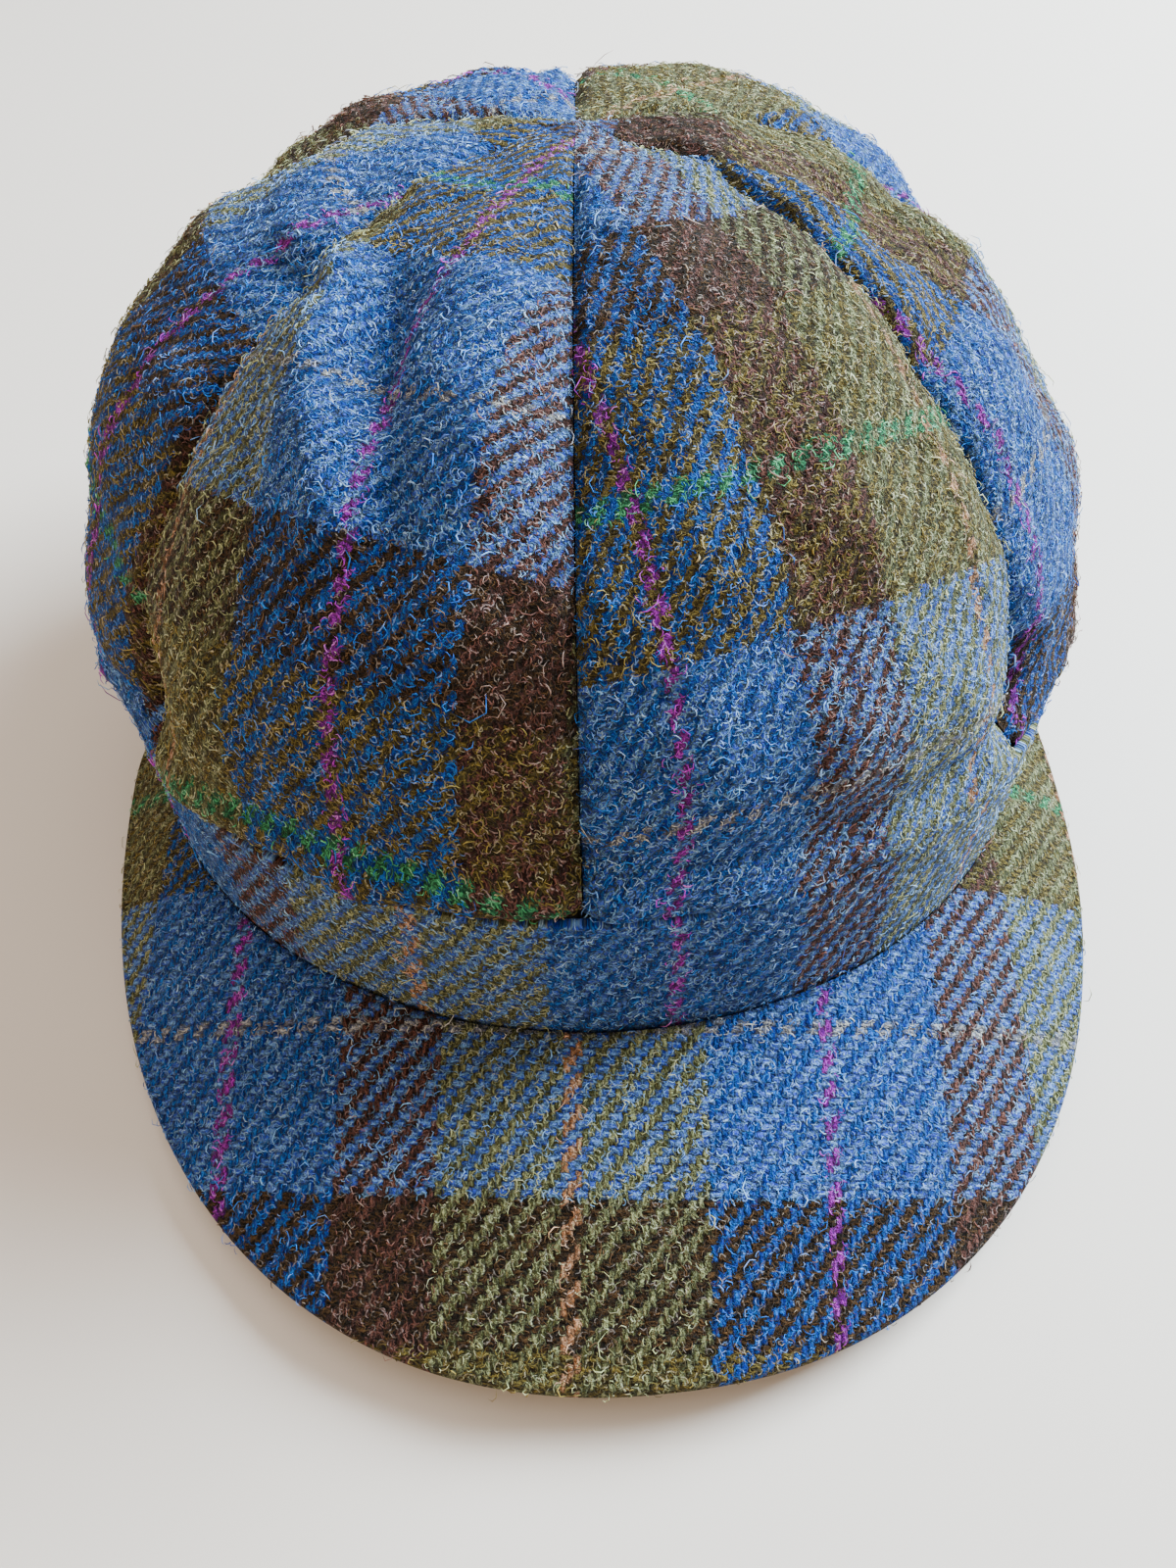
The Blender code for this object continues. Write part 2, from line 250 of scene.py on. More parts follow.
BAND_LEAN = 0.0033
REST_COSINE = -0.35
LIFT_POWER = 1.5
CROWN_OVERHANG = 0.0045
CROWN_SET_BACK = 0.030
CROWN_TIP = 0.18
CROWN_SEAT = 0.0007
BELLY = 0.28
PUFF_FADE = 0.060
PUFF_MIDDLE = 0.45
PUFF_ROUNDNESS = 2.4
PUFF_TAPER = 0.4
PUFF_LIFT = 0.5
PUFF_LIFT_RATE = 1.8
PEAK_SIDE_REACH = 0.0085
PEAK_WIDEST = 0.020
PEAK_TAIL = 0.060
PEAK_ARCH = 0.0065
PEAK_SQUARENESS = 2.2
PEAK_END_WIDTH = 0.002
SEAM_GAP = 0.0002
TOP_HEIGHT = 0.9995
SMALLEST = 1e-12

Surface = namedtuple("Surface", "points normals cloth")

# A soft wave over a surface: its height, and about how far it is from crest to crest.
Wave = namedtuple("Wave", "height size seed")
WAVE_COUNT = 14
WAVE_SPREAD = (0.7, 1.5)


def shape():
    """The sizes that the sidebar shows."""
    return bpy.context.scene.cap_shape


def ease(share):
    """A smooth step from 0 to 1."""
    share = np.clip(share, 0.0, 1.0)
    return share * share * (3.0 - 2.0 * share)


def bell(distance, width):
    """A rounded bump: 1 at no distance, falling off with the square of distance over width."""
    return np.exp(-((distance / width) ** 2))


def facing(bearing):
    """How far a bearing faces the front: 1 at the front, 0 from the sides back."""
    return np.clip(np.cos(bearing), 0.0, None) ** 2


def by_side(column, bearing):
    """A column of SIDES at any bearing, blended by the squared cosine to each side."""
    total = 0.0
    for side in SIDES:
        nearness = np.clip(np.cos(bearing - np.radians(side.bearing)), 0.0, None)
        total = total + getattr(side, column) * nearness**2
    return total


def band_radius(bearing, grow=0.0):
    """Distance from the band's middle to its outer face at the bottom, an ellipse."""
    across = np.sin(bearing) / (shape().band_width / 2 + grow)
    along = np.cos(bearing) / (shape().band_length / 2 + grow)
    return 1.0 / np.hypot(across, along)


def band_bottom(bearing):
    """Height of the band's lower edge: the lift times 2 s^p - s^2, with s rising to 1 at the front."""
    share = np.clip((np.cos(bearing) - REST_COSINE) / (1.0 - REST_COSINE), 0.0, 1.0)
    return shape().front_lift * (2.0 * share**LIFT_POWER - share**2)


def around(radius, bearing, height):
    """Points at a radius, bearing and height, as an array of x, y, z."""
    x, y = radius * np.sin(bearing), -radius * np.cos(bearing)
    return np.stack(np.broadcast_arrays(x, y, height), axis=-1)


def unit(vectors):
    """Vectors over their lengths, or zero where they have none."""
    return vectors / np.maximum(np.linalg.norm(vectors, axis=-1, keepdims=True), SMALLEST)


def seam_bearings():
    """The seams' bearings in radians, and the first one again a turn later."""
    first = [panel.first_seam for panel in PANELS]
    return np.radians(first + [first[0] + 360.0])


def puff_at(bearing, height):
    """How far a panel stands out from the crown's mean surface: most at its middle, least at a seam."""
    seams = seam_bearings()
    turned = np.mod(bearing - seams[0], 2 * np.pi) + seams[0]
    index = np.clip(np.searchsorted(seams, turned, side="right") - 1, 0, len(PANELS) - 1)
    across = np.abs(2 * turned - seams[index] - seams[index + 1]) / (seams[index + 1] - seams[index])
    swell = ease(height / BELLY) * np.abs(np.cos(height * np.pi / 2)) ** PUFF_TAPER
    return shape().panel_puff * swell * (PUFF_MIDDLE - across**PUFF_ROUNDNESS)


def smooth_crown(bearing, height):
    """The crown without folds: out from the band to its widest level, then a squared dome."""
    sizes = shape()
    low = band_bottom(bearing) + sizes.band_height + CROWN_SEAT
    level = low + sizes.crown_height * by_side("level", bearing)
    dome = np.clip((height - BELLY) / (1.0 - BELLY), 0.0, 1.0)
    power = 2.0 / by_side("squareness", bearing)
    rise = np.sin(dome * np.pi / 2) ** power
    z = low + (level - low) * np.clip(height / BELLY, 0.0, 1.0)
    z = z + (sizes.band_height + sizes.crown_height - level) * rise

    start = band_radius(bearing) - BAND_LEAN * facing(bearing)
    out = start + CROWN_OVERHANG * by_side("overhang", bearing) * ease(height / BELLY)
    radius = out * np.abs(np.cos(dome * np.pi / 2)) ** power
    puff = puff_at(bearing, height) * np.clip(radius / PUFF_FADE, 0.0, 1.0)
    points = around(radius + puff, bearing, z + puff * PUFF_LIFT * ease(dome * PUFF_LIFT_RATE))
    points[..., 2] -= CROWN_TIP * points[..., 1] * ease(dome)
    points[..., 1] += CROWN_SET_BACK * ease(height)
    return points


def direction(points):
    """Unit vectors towards the points from the middle of the crown's hollow."""
    return unit(points - np.array([0.0, CROWN_SET_BACK / 2, shape().band_height]))


def fold_rise(fold, ray):
    """A fold's rise along each ray: a rounded ridge on the great circle between the fold's ends."""
    bearings = np.radians([fold.bearing_a, fold.bearing_b])
    start, end = direction(smooth_crown(bearings, np.array([fold.height_a, fold.height_b])))
    pole = np.cross(start, end)
    length = np.arctan2(np.linalg.norm(pole), start @ end)
    pole = pole / np.linalg.norm(pole)
    aside = np.arcsin(np.clip(ray @ pole, -1.0, 1.0))
    along = np.arctan2(ray @ np.cross(pole, start), ray @ start)
    beyond = np.clip(np.maximum(-along, along - length), 0.0, None)
    return fold.rise * shape().panel_puff * np.exp(-(aside**2 + beyond**2) / np.radians(fold.width) ** 2)


def crown_point(bearing, height):
    """The crown's outer face, with folds and creases pushed out from the middle of its hollow."""
    points = smooth_crown(bearing, height)
    ray = direction(points)
    rise = sum(fold_rise(fold, ray) for fold in FOLDS + CREASES)
    return points + ray * (rise * ease(height / BELLY))[..., None]


def normals_of(points):
    """Unit normals of a grid, from the cross product of its differences along columns and rows."""
    return unit(np.cross(np.gradient(points, axis=1), np.gradient(points, axis=0)))


def distances(points, axis):
    """Distance covered along a grid's rows or columns, from its first point, in metres."""
    steps = np.linalg.norm(np.diff(points, axis=axis), axis=-1)
    start = np.zeros_like(np.take(steps, [0], axis=axis))
    return np.concatenate([start, np.cumsum(steps, axis=axis)], axis=axis)


def wave_rise(wave, points):
    """A soft wave's rise: its height times a sum of sines, each of a random direction and phase.

    The sum is divided by the root of half their number, so that its mean square is about 1.
    """
    rng = np.random.default_rng(wave.seed)
    heading = rng.normal(size=(3, WAVE_COUNT))
    heading = heading / np.linalg.norm(heading, axis=0) * rng.uniform(*WAVE_SPREAD, WAVE_COUNT)
    phase = rng.uniform(0.0, 2 * np.pi, WAVE_COUNT)
    sines = np.sin(points @ heading * (2 * np.pi / wave.size) + phase)
    return wave.height * (sines.sum(axis=-1) / np.sqrt(WAVE_COUNT / 2))


PANEL_COLUMNS = 76
PANEL_ROWS = 120
ROW_CROWDING = 1.15
EDGE_CROWDING = 0.80
PANEL_WAVES = (Wave(0.00060, 0.026, seed=3), Wave(0.00018, 0.009, seed=4))

# The valley at a seam, and the panel's width from which it has its whole depth.
SEAM_WIDTH = 0.0016
SEAM_ROOM = 0.030

# Puckers beside a seam: their rise, their distance from each other, and where they start and fade.
PUCKER_RISE = 0.00028
PUCKER_SPACING = 0.0105
PUCKER_START = 0.001
PUCKER_FADE = 0.0065
PUCKER_DRIFT = Wave(0.004, 0.03, seed=5)

# The roll at the crown's lower edge: how high its middle lies, how wide it is, and its turned edge.
HEM_LEVEL = 0.0055
HEM_WIDTH = 0.0045
HEM_EDGE = 0.0014

# How the cloth spreads across a panel, more so higher up; how its weft arches; and the height in
# millimetres up to which the warp leans.
CLOTH_SPREAD = 1.09
CLOTH_TAPER = 0.0016
CLOTH_ARC = 0.0052
LEAN_LIMIT = 75.0


def panel_surface(index):
    """A crown panel between its seams, finer than the frame's.

    The frame's shape is pushed out from the middle of its hollow by soft waves, by a valley at each
    seam with small puckers beside it, and by the roll with which the crown turns over the band.
    Cloth distances are the distance across from the panel's middle line and the distance along
    that line.
    """
    panel = PANELS[index]
    rows = TOP_HEIGHT * np.linspace(0.0, 1.0, PANEL_ROWS)[:, None] ** ROW_CROWDING
    share = np.linspace(0.0, 1.0, PANEL_COLUMNS + 1)[None, :]
    share = share - EDGE_CROWDING * np.sin(2 * np.pi * share) / (2 * np.pi)
    first, final = seam_bearings()[index : index + 2]
    points = crown_point(first + (final - first) * share, rows + 0.0 * share)

    across = distances(points, axis=1)
    width = across[:, -1:]
    middle = np.abs(share[0] - 0.5).argmin()
    upward = distances(points, axis=0)[:, middle : middle + 1]
    from_seam = np.minimum(across, width - across)
    room = ease(width / SEAM_ROOM)
    rise = sum(wave_rise(wave, points) for wave in PANEL_WAVES)
    rise = rise - shape().seam_depth * bell(from_seam, SEAM_WIDTH) * room
    pucker = np.sin(2 * np.pi * (upward + wave_rise(PUCKER_DRIFT, points)) / PUCKER_SPACING)
    pucker = PUCKER_RISE * pucker * bell(from_seam, PUCKER_FADE)
    rise = rise + pucker * (1.0 - bell(from_seam, PUCKER_START)) * room
    roll = bell(upward - HEM_LEVEL, HEM_WIDTH) - bell(upward, HEM_EDGE)
    rise = rise + panel.hem / MILLIMETRES * roll
    points = points + direction(points) * rise[..., None]
    side = np.where(across < width / 2, 1.0, -1.0)
    inward = SEAM_GAP / 2 * bell(from_seam, SEAM_WIDTH) * side * room
    points = points + unit(np.gradient(points, axis=1)) * inward[..., None]

    x = (across - width / 2) * MILLIMETRES
    y = upward * MILLIMETRES + 0.0 * x
    lean = panel.lean * np.minimum(y, LEAN_LIMIT)
    u = panel.facing * x * (CLOTH_SPREAD + CLOTH_TAPER * y) + lean - panel.purple_at
    v = panel.rise * y + panel.curve * y * y + CLOTH_ARC * x * x - panel.green_at
    return Surface(points + BAND_MIDDLE, normals_of(points), np.stack([u, v], axis=-1))


BAND_COLUMNS = 460
BAND_ROWS = 16
BAND_PURPLE = 8.3
BAND_GREEN = -80.4
BAND_CLOTH_RISE = 0.8
BAND_WAVE = Wave(0.00030, 0.040, seed=6)
BAND_RIPPLE = Wave(0.00012, 0.012, seed=7)
RIPPLE_SHIFT = 0.02
BAND_WELD = 0.00001
BAND_SEAM_DEPTH = 0.0007
BAND_SEAM_ANGLE = 0.018
RIM_STEPS = 7
RIM_SQUARENESS = 3.2


def wall_profile(height, thickness, rows, steps):
    """A wall's closed section as distances inward and up: outer face, top, inner face, bottom.

    Top and bottom are squared half circles, with sine and cosine to the power of 2 over squareness.
    """
    radius = thickness / 2
    up = np.linspace(radius, height - radius, rows)
    turn = np.linspace(0.0, np.pi, steps + 1)[1:-1]
    power = 2.0 / RIM_SQUARENESS
    across = radius * np.sign(np.cos(turn)) * np.abs(np.cos(turn)) ** power
    over = radius * np.sin(turn) ** power
    inward = [0 * up, radius - across, 0 * up + thickness, radius + across]
    level = [up, height - radius + over, up[::-1], radius - over]
    return np.concatenate(inward), np.concatenate(level)


def band_surface():
    """The band: a rounded wall's section carried round the band's ellipse, joined at the back.

    The first rows are its outer face. Soft waves and a shallow valley at the back seam move it.
    """
    sizes = shape()
    bearing = np.linspace(-np.pi, np.pi, BAND_COLUMNS + 1)[None, :]
    inward, level = wall_profile(sizes.band_height + CROWN_SEAT / 2, sizes.cloth, BAND_ROWS, RIM_STEPS)
    inward, up = inward[:, None], level[:, None] / sizes.band_height
    radius = band_radius(bearing) - BAND_LEAN * up * facing(bearing) - inward
    ring = around(band_radius(bearing), bearing, 0.0 * up)
    wave = wave_rise(BAND_WAVE, ring) + wave_rise(BAND_RIPPLE, ring + up[..., None] * RIPPLE_SHIFT)
    wave = wave * np.sin(np.pi * np.clip(up, 0.0, 1.0)) ** 0.5
    seam = BAND_SEAM_DEPTH * bell(np.pi - np.abs(bearing), BAND_SEAM_ANGLE)
    points = around(radius + wave - seam, bearing, band_bottom(bearing) + level[:, None])
    arc = distances(ring[:1], axis=1) * MILLIMETRES
    u = arc - arc[:, BAND_COLUMNS // 2] - BAND_PURPLE
    v = BAND_CLOTH_RISE * level[:, None] * MILLIMETRES - BAND_GREEN
    cloth = np.stack(np.broadcast_arrays(u, v), axis=-1)
    return Surface(points + BAND_MIDDLE, normals_of(points), cloth)


PEAK_COLUMNS = 260
PEAK_ROWS = 34
PEAK_EDGE_ROWS = 8
PEAK_BAND_GAP = 0.0004
PEAK_WAVE = Wave(0.0002, 0.030, seed=8)

# The slight crown of the upper face: its height, its roundness, and the reach from which it has
# its whole height. Where the peak is narrow, it starts at most this share of the way out, and its
# edge takes at most this share of what is left.
PEAK_CROWN = 0.0014
PEAK_CROWN_POWER = 0.8
PEAK_CROWN_REACH = 0.05
PEAK_LAST_START = 0.8
PEAK_EDGE_SHARE = 0.3

# How the cloth lies on the peak, in millimetres: the places of a purple and a green line, how the
# warp leans about a depth, and how the weft tilts and arches.
PEAK_PURPLE = 33.5
PEAK_GREEN_DEPTH = 42.0
PEAK_CLOTH_ACROSS = 1.02
PEAK_CLOTH_DEEP = 1.06
PEAK_LEAN = 0.075
PEAK_LEAN_DEPTH = 115.0
PEAK_TILT = 0.07
PEAK_ARC = 0.0009


def peak_outline(angle):
    """The peak's outer edge: a squared ellipse in front of its widest line and a tail behind it."""
    sizes = shape()
    power = 2.0 / PEAK_SQUARENESS
    reach = sizes.band_length / 2 + sizes.peak_depth - PEAK_WIDEST
    half = sizes.band_width / 2 + PEAK_SIDE_REACH
    sine, cosine = np.sin(angle), np.cos(angle)
    x = half * np.sign(sine) * np.abs(sine) ** power
    y = -PEAK_WIDEST - np.where(cosine > 0, reach, -PEAK_TAIL) * np.abs(cosine) ** power
    z = sizes.peak_thickness + PEAK_ARCH * np.clip(cosine, 0.0, None) ** 2
    return np.stack(np.broadcast_arrays(x, y, z), axis=-1)


def peak_surface():
    """The peak: its upper face from the band to the outline, its round edge and its lower face.

    The upper face runs straight from under the band to the outline, with a slight crown between.
    The edge is a half circle carried round the outline, and the lower face follows the upper. The
    cloth is laid flat on the upper face, rolls round the edge and runs back under the peak.
    """
    sizes = shape()
    thickness = sizes.peak_thickness
    share = np.linspace(-1.0, 1.0, PEAK_COLUMNS + 1)[None, :]
    half = sizes.band_width / 2
    end = ((half + PEAK_END_WIDTH) / (half + PEAK_SIDE_REACH)) ** (PEAK_SQUARENESS / 2)
    outline = peak_outline(share * (np.pi - np.arcsin(end)))
    bearing = share * np.arctan2(outline[0, -1, 0], -outline[0, -1, 1])
    under = around(band_radius(bearing, grow=-thickness), bearing, band_bottom(bearing) + thickness)
    span = outline - under
    reach = np.linalg.norm(span[..., :2], axis=-1, keepdims=True)
    start = np.clip((thickness + PEAK_BAND_GAP) / reach, 0.0, PEAK_LAST_START)
    radius = np.minimum(thickness / 2, PEAK_EDGE_SHARE * reach * (1 - start))
    stop = 1.0 - radius / reach

    out = np.linspace(0.0, 1.0, PEAK_ROWS)[:, None, None]
    top = under + span * (start + (stop - start) * out)
    crown = np.sin(np.pi * out[..., 0]) ** PEAK_CROWN_POWER
    crown = crown * np.clip(reach[..., 0] / PEAK_CROWN_REACH, 0.0, 1.0)
    top[..., 2] += PEAK_CROWN * crown + wave_rise(PEAK_WAVE, top)
    edge_turn = np.linspace(0.0, np.pi, PEAK_EDGE_ROWS + 2)[1:-1, None, None]
    outward = span * [1.0, 1.0, 0.0] / reach
    edge = top[-1:] + outward * radius * np.sin(edge_turn)
    edge[..., 2] -= (thickness / 2 * (1.0 - np.cos(edge_turn)))[..., 0]
    bottom = top[::-1].copy()
    bottom[..., 2] -= thickness
    points = np.concatenate([top, edge, bottom])[:, ::-1]

    rolled = top[-1:] + outward * thickness / 2 * edge_turn
    turned = 2 * top[-1:] - top[::-1] + outward * thickness / 2 * np.pi
    flat = np.concatenate([top, rolled, turned])[:, ::-1] * MILLIMETRES
    x, depth = flat[..., 0], -flat[..., 1]
    u = PEAK_CLOTH_ACROSS * (x + PEAK_LEAN * (depth - PEAK_LEAN_DEPTH)) - PEAK_PURPLE
    v = -PEAK_CLOTH_DEEP * (depth - PEAK_TILT * x + PEAK_ARC * x * x - PEAK_GREEN_DEPTH)
    return Surface(points + BAND_MIDDLE, normals_of(points), np.stack([u, v], axis=-1))


# Meshes

def grid_faces(rows, columns, ring=False):
    """Corner numbers of a grid's faces, four to a face. With ring, the last row joins the first."""
    number = np.arange(rows * columns).reshape(rows, columns)
    after = np.roll(number, -1, axis=0) if ring else number[1:]
    before = number if ring else number[:-1]
    return np.stack([before[:, :-1], before[:, 1:], after[:, 1:], after[:, :-1]], axis=-1).reshape(-1, 4)


def peak_faces(rows, columns):
    """The peak's faces: its grid joined round, and a strip across the section at each end."""
    number = np.arange(rows * columns).reshape(rows, columns)
    half = rows // 2
    faces = [grid_faces(rows, columns, ring=True)]
    for column, turned in ((0, False), (columns - 1, True)):
        upper, lower = number[:half, column], number[::-1, column][:half]
        strip = np.stack([upper[:-1], upper[1:], lower[1:], lower[:-1]], axis=-1)
        faces.append(strip[:, ::-1] if turned else strip)
    return np.concatenate(faces)


def new_piece(name, mesh, material):
    """A smooth piece from a mesh, which rides on the cap's one body."""
    mesh.materials.append(material)
    mesh.shade_smooth()
    piece = bpy.data.objects.new(name, mesh)
    bpy.context.scene.collection.objects.link(piece)
    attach(piece, "root")
    return piece


def cloth_object(name, surface, material, faces):
    """A piece from a surface's grid, with its cloth distances as the UV map."""
    mesh = bpy.data.meshes.new(name)
    mesh.from_pydata(surface.points.reshape(-1, 3).tolist(), [], faces.tolist())
    layer = mesh.uv_layers.new(name="cloth")
    corners = surface.cloth.reshape(-1, 2)[faces.ravel()]
    layer.data.foreach_set("uv", corners.astype(np.float32).ravel())
    return new_piece(name, mesh, material)


def stripe_at(stripes, repeat, place):
    """The yarn of each place along a repeat, as an index into YARNS."""
    names = list(YARNS)
    starts = np.array([stripe.start for stripe in stripes])
    kinds = np.array([names.index(stripe.yarn) for stripe in stripes])
    return kinds[np.searchsorted(starts, np.mod(place, repeat), side="right") - 1]


FIBRE_RINGS = 2
FIBRE_SIDES = 3
FIBRE_SEED = 20
BAND_FIBRE_SEED = 30
PEAK_FIBRE_SEED = 31
SQUARE_CENTIMETRES = 1e4

# Shares of the crown's fibres that the band and the peak have on each area.
BAND_FIBRES = 0.6
PEAK_FIBRES = 0.45

# How widely fibres vary in length and radius, how far each turns in radians, how high it stands in
# shares of its length, how much of an arch it makes, and how deep its root lies.
LENGTH_SPREAD = 0.45
RADIUS_SPREAD = 0.25
FIBRE_TURN = (1.2, 4.6)
FIBRE_LIFT = (0.04, 0.22)
FIBRE_ARCH = (0.6, 1.0)
ROOT_DEPTH = 0.0001

# A fibre's colour: how often it is the warp's, how often its light part shows, how far the dark
# part is lightened, and how often it is a pale hair, with what the pale hair adds to its yarn.
WARP_SHARE = 0.5
LIGHT_POWER = 0.6
BODY_GAIN = 1.4
PALE_SHARE = 0.16
PALE_FLECK = 0.7
PALE_HAIR = (0.20, 0.19, 0.17)


def fibre_roots(surface, rows, count, rng):
    """Random places on a surface's outer rows, as many on each area.

    A place is a share across and a share along a cell that is picked by its area. Each has its
    point, its normal, the directions along and across the surface, and its cloth distances.
    """
    points = surface.points[:rows]
    a, b, c, d = points[:-1, :-1], points[:-1, 1:], points[1:, 1:], points[1:, :-1]
    area = np.linalg.norm(np.cross(c - a, d - b), axis=-1) / 2
    number = int(count * area.sum() * SQUARE_CENTIMETRES)
    cell = np.searchsorted(np.cumsum(area.ravel()) / area.sum(), rng.random(number))
    row, column = np.unravel_index(np.clip(cell, 0, area.size - 1), area.shape)
    s, t = rng.random((2, number, 1))

    def place(grid):
        low = grid[row, column] * (1 - s) + grid[row, column + 1] * s
        high = grid[row + 1, column] * (1 - s) + grid[row + 1, column + 1] * s
        return low * (1 - t) + high * t

    normal = place(surface.normals)
    along = c[row, column] - d[row, column] + b[row, column] - a[row, column]
    side = unit(np.cross(normal, along))
    return place(surface.points), normal, np.cross(side, normal), side, place(surface.cloth)


def fibre_colours(cloth, rng):
    """Each fibre's colour: that of the warp or weft under it, lightened, or now and then a pale hair."""
    warp = stripe_at(WARP, WARP_REPEAT, cloth[:, 0])
    weft = stripe_at(WEFT, WEFT_REPEAT, cloth[:, 1])
    kind = np.where(rng.random(len(cloth)) < WARP_SHARE, warp, weft)
    body = np.array([yarn.body for yarn in YARNS.values()])[kind]
    fleck = np.array([yarn.fleck for yarn in YARNS.values()])[kind]
    light = rng.random((len(cloth), 1)) ** LIGHT_POWER
    colour = body * BODY_GAIN * (1 - light) + fleck * light
    pale = rng.random((len(cloth), 1)) < PALE_SHARE
    return np.where(pale, fleck * PALE_FLECK + np.array(PALE_HAIR), colour)


def spindle_faces(number, corners):
    """Triangles of spindles: from a tip to a ring, from ring to ring, and from the last to a tip."""
    last = 1 + (FIBRE_RINGS - 1) * FIBRE_SIDES
    faces = []
    for k in range(FIBRE_SIDES):
        n = (k + 1) % FIBRE_SIDES
        faces.append([0, 1 + k, 1 + n])
        for r in range(FIBRE_RINGS - 1):
            low, high = 1 + r * FIBRE_SIDES, 1 + (r + 1) * FIBRE_SIDES
            faces += [[low + k, high + n, low + n], [low + k, high + k, high + n]]
        faces.append([last + k, corners - 1, last + n])
    return (np.array(faces)[None] + corners * np.arange(number)[:, None, None]).reshape(-1, 3)


def fibre_object(name, surface, rows, per_area, seed, material):
    """Loose fibres on a surface: curls that leave it, turn at an even rate and come back near it.

    Each is a closed spindle of triangles round a short path. The path's heading grows evenly along
    it, and its height over the cloth is a part of a sine's arch.
    """
    rng = np.random.default_rng(seed)
    root, normal, along, side, cloth = fibre_roots(surface, rows, per_area, rng)
    number = len(root)
    settings = bpy.context.scene.cap_cloth
    length = settings.fibre_length * np.exp(LENGTH_SPREAD * rng.normal(size=number))
    knots = FIBRE_RINGS + 2
    step = np.linspace(0.0, 1.0, knots)[:, None]
    start = rng.uniform(0, 2 * np.pi, number)
    heading = start + rng.uniform(*FIBRE_TURN, number) * rng.choice([-1, 1], number) * step
    height = length * rng.uniform(*FIBRE_LIFT, number)
    lift = height * np.sin(np.pi * step * rng.uniform(*FIBRE_ARCH, number))
    move_x = np.cumsum(np.cos(heading), axis=0) * length / knots
    move_y = np.cumsum(np.sin(heading), axis=0) * length / knots
    path = root + along * move_x[..., None] + side * move_y[..., None]
    path = path + normal * (lift - ROOT_DEPTH)[..., None]
    path[..., 2] = np.maximum(path[..., 2], 2 * settings.fibre_radius)

    ahead = unit(np.gradient(path, axis=0))
    wide = unit(np.cross(ahead, normal))
    deep = np.cross(wide, ahead)
    turn = 2 * np.pi * np.arange(FIBRE_SIDES) / FIBRE_SIDES
    radius = settings.fibre_radius * np.exp(RADIUS_SPREAD * rng.normal(size=(number, 1)))
    ring = [path[1:-1] + radius * (wide[1:-1] * np.cos(a) + deep[1:-1] * np.sin(a)) for a in turn]
    ring = np.stack(ring, axis=2).transpose(1, 0, 2, 3).reshape(number, -1, 3)
    corners = np.concatenate([path[0][:, None], ring, path[-1][:, None]], axis=1)
    each = corners.shape[1]

    mesh = bpy.data.meshes.new(name)
    mesh.from_pydata(corners.reshape(-1, 3).tolist(), [], spindle_faces(number, each).tolist())
    colours = np.repeat(fibre_colours(cloth, rng), each, axis=0)
    colours = np.column_stack([colours, np.ones(len(colours))]).astype(np.float32)
    layer = mesh.color_attributes.new("fibre_colour", "FLOAT_COLOR", "POINT")
    layer.data.foreach_set("color", colours.ravel())
    return new_piece(name, mesh, material)


# Materials

class Value:
    """A number or colour that a shader node puts out; arithmetic on it adds Math nodes."""

    def __init__(self, shader, socket):
        self.shader = shader
        self.socket = socket

    def math(self, operation, *values):
        """A Math node of an operation on some values."""
        return self.shader.add("ShaderNodeMath", {"operation": operation}, dict(enumerate(values)))

    def __add__(self, other):
        return self.math("ADD", self, other)

    __radd__ = __add__

    def __sub__(self, other):
        return self.math("SUBTRACT", self, other)

    def __rsub__(self, other):
        return self.math("SUBTRACT", other, self)

    def __mul__(self, other):
        return self.math("MULTIPLY", self, other)

    __rmul__ = __mul__

    def __truediv__(self, other):
        return self.math("DIVIDE", self, other)

    def __mod__(self, other):
        return self.math("FLOORED_MODULO", self, other)

    def __pow__(self, other):
        return self.math("POWER", self, other)

    def __abs__(self):
        return self.math("ABSOLUTE", self)

    def __gt__(self, other):
        return self.math("GREATER_THAN", self, other)

    def __lt__(self, other):
        return self.math("LESS_THAN", self, other)

    def floor(self):
        return self.math("FLOOR", self)

    def between(self, low, high):
        """0 below low, 1 above high, and a smooth step between."""
        return self.shader.add(
            "ShaderNodeMapRange",
            {"interpolation_type": "SMOOTHSTEP"},
            {"Value": self, "From Min": low, "From Max": high},
        )


